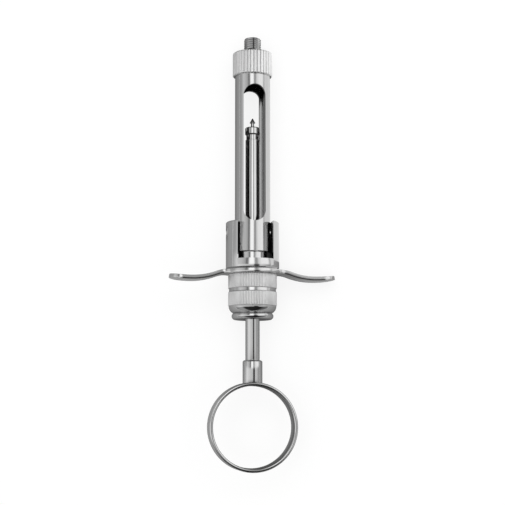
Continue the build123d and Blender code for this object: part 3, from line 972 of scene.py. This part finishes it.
def tent_light(strength):
    """Light that changes by the angle from straight up, in four patterns from the needle's end to the ring's."""
    surface = Surface("tent_light")
    place = surface.node("TexCoord", output="Object")
    side, along, height = surface.parts(place)
    turn = side.angle_to(height) / math.pi + 0.5
    patterns = [surface.ramp(turn, [(degrees / 180 + 0.5, grey) for degrees, grey in stops]) for _, stops in TENT]
    colour = patterns[0]
    for ((start, end), _), pattern in zip(TENT[1:], patterns[1:]):
        change = surface.node("MapRange", {"interpolation_type": "SMOOTHSTEP"},
                              {0: along, 1: start, 2: end, 3: 0.0, 4: 1.0})
        colour = surface.mix(change, colour, pattern)
    return surface.shine(colour, strength)


def card_light():
    """A card that is darkest along the middle, where a real table is in the syringe's own shade."""
    surface = Surface("card_light")
    place = surface.node("TexCoord", output="Object")
    away = abs(surface.parts(place)[0]) / CARD_REACH
    return surface.shine(surface.ramp(away, CARD_GREYS), 1.0)


def white_floor(studio):
    """A pale floor that a camera or a mirror sees as white, where the syringe's shadow still shows."""
    surface = Surface("white_floor")
    speckle = surface.noise(surface.node("TexCoord", output="Object"), (900, 900, 900))
    colour = surface.vary(speckle, (1, 1, 1), studio.floor_dark, studio.floor_pale)
    shader = surface.node("BsdfPrincipled", {}, {"Base Color": colour, "Roughness": 0.9, "Specular IOR Level": 0.0})
    glow = surface.node("Emission", {}, {"Color": (1, 1, 1, 1), "Strength": studio.floor_glow})
    both = surface.node("MixShader", {}, {0: studio.floor_glow_share, 1: shader, 2: glow})
    mixed = surface.node("MixShader", {}, {0: surface.seen(), 1: shader, 2: both})
    surface.node("OutputMaterial", {}, {"Surface": mixed})
    return surface.material


def reflected_only(obj):
    """Hides a stage piece from all but reflections."""
    obj.visible_camera = False
    obj.visible_diffuse = False
    obj.visible_shadow = False


class SYRINGE_OT_stage(bpy.types.Operator):
    """Set the floor, the light tent, the lamp and the camera"""

    bl_idname = "syringe.stage"
    bl_label = "Stage"

    def execute(self, context):
        studio = context.scene.syringe_studio
        context.scene.view_settings.view_transform = "Standard"
        self.world(context, studio)
        self.floor(studio)
        self.tent(studio)
        self.lamp(studio)
        self.camera(context, studio)
        return {"FINISHED"}

    def world(self, context, studio):
        world = bpy.data.worlds.new("studio")
        world.use_nodes = True
        sky = Surface("sky", world)
        strength = sky.seen() * (1 - studio.sky_strength) + studio.sky_strength
        light = sky.node("Background", {}, {"Color": (1, 1, 1, 1), "Strength": strength})
        sky.node("OutputWorld", {}, {"Surface": light})
        context.scene.world = world

    def floor(self, studio):
        floor = add(bpy.ops.mesh.primitive_plane_add, size=studio.floor_size)
        floor.name = "floor"
        floor.data.materials.append(white_floor(studio))

    def tent(self, studio):
        tent = add(bpy.ops.mesh.primitive_cylinder_add, vertices=96, radius=studio.tent_radius,
                   depth=3 * studio.tent_radius, rotation=(math.pi / 2, 0, 0))
        tent.name = "light_tent"
        edit_all()
        bpy.ops.mesh.bisect(plane_co=(0, 0, studio.tent_foot), plane_no=(0, 0, 1), clear_inner=True)
        bpy.ops.object.mode_set(mode="OBJECT")
        tent.data.materials.append(tent_light(studio.tent_strength))
        reflected_only(tent)
        light = card_light()
        for name, ((x, y), (wide, deep)) in CARDS.items():
            card = add(bpy.ops.mesh.primitive_plane_add, size=1)
            card.name = name
            card.scale, card.location = (wide, deep, 1), (x, y, studio.card_height)
            bpy.ops.object.transform_apply()
            card.data.materials.append(light)
            reflected_only(card)

    def lamp(self, studio):
        bpy.ops.object.select_all(action="DESELECT")
        bpy.ops.object.light_add(type="AREA", location=studio.lamp_place)
        lamp = bpy.context.object
        lamp.name = "table_lamp"
        lamp.data.shape = "SQUARE"
        lamp.data.size = studio.lamp_size
        lamp.data.energy = studio.lamp_power
        lamp.visible_camera = False
        lamp.visible_glossy = False

    def camera(self, context, studio):
        aim = LAY_DOWN @ Vector((0, 0, studio.aim_height))
        lean, swing = studio.camera_lean, studio.camera_swing
        back = Vector((math.cos(lean) * math.sin(swing), -math.sin(lean), math.cos(lean) * math.cos(swing)))
        place = aim + studio.camera_distance * back
        bpy.ops.object.select_all(action="DESELECT")
        bpy.ops.object.camera_add(location=place)
        camera = bpy.context.object
        level = Vector((0, 1, 0)).cross(back).normalized()
        aimed = Matrix((level, back.cross(level), back)).transposed()
        camera.rotation_euler = (aimed @ Matrix.Rotation(-studio.camera_roll, 3, "Z")).to_euler()
        camera.data.lens = camera.data.sensor_width * studio.camera_distance / studio.view_width
        camera.data.clip_start = 0.01
        context.scene.camera = camera


class SYRINGE_PT_panel(bpy.types.Panel):
    """The syringe's pieces and studio in the sidebar"""

    bl_idname = "SYRINGE_PT_panel"
    bl_label = "Syringe"
    bl_space_type = "VIEW_3D"
    bl_region_type = "UI"
    bl_category = "Syringe"

    def draw(self, context):
        for operator in OPERATORS:
            self.layout.operator(operator.bl_idname)
        for group in GROUPS:
            settings = getattr(context.scene, group)
            box = self.layout.box()
            for name in settings.__annotations__:
                box.prop(settings, name)


GROUPS = {"syringe_sizes": SyringeSizes, "syringe_finish": SyringeFinish, "syringe_studio": SyringeStudio}
OPERATORS = (SYRINGE_OT_stage, SYRINGE_OT_inner_parts, SYRINGE_OT_barrel, SYRINGE_OT_needle_adaptor,
             SYRINGE_OT_hinge_yoke, SYRINGE_OT_pivot_screws, SYRINGE_OT_finger_plate, SYRINGE_OT_collars,
             SYRINGE_OT_plunger, SYRINGE_OT_thumb_ring)


def register():
    for group in GROUPS.values():
        bpy.utils.register_class(group)
    for name, group in GROUPS.items():
        setattr(bpy.types.Scene, name, bpy.props.PointerProperty(type=group))
    for item in (*OPERATORS, SYRINGE_PT_panel):
        bpy.utils.register_class(item)


def unregister():
    for item in reversed((*OPERATORS, SYRINGE_PT_panel)):
        bpy.utils.unregister_class(item)
    for name in GROUPS:
        delattr(bpy.types.Scene, name)
    for group in reversed(list(GROUPS.values())):
        bpy.utils.unregister_class(group)


def main():
    register()
    for operator in OPERATORS:
        name = operator.bl_idname.split(".")[1]
        getattr(bpy.ops.syringe, name)()


if __name__ == "__main__":
    main()
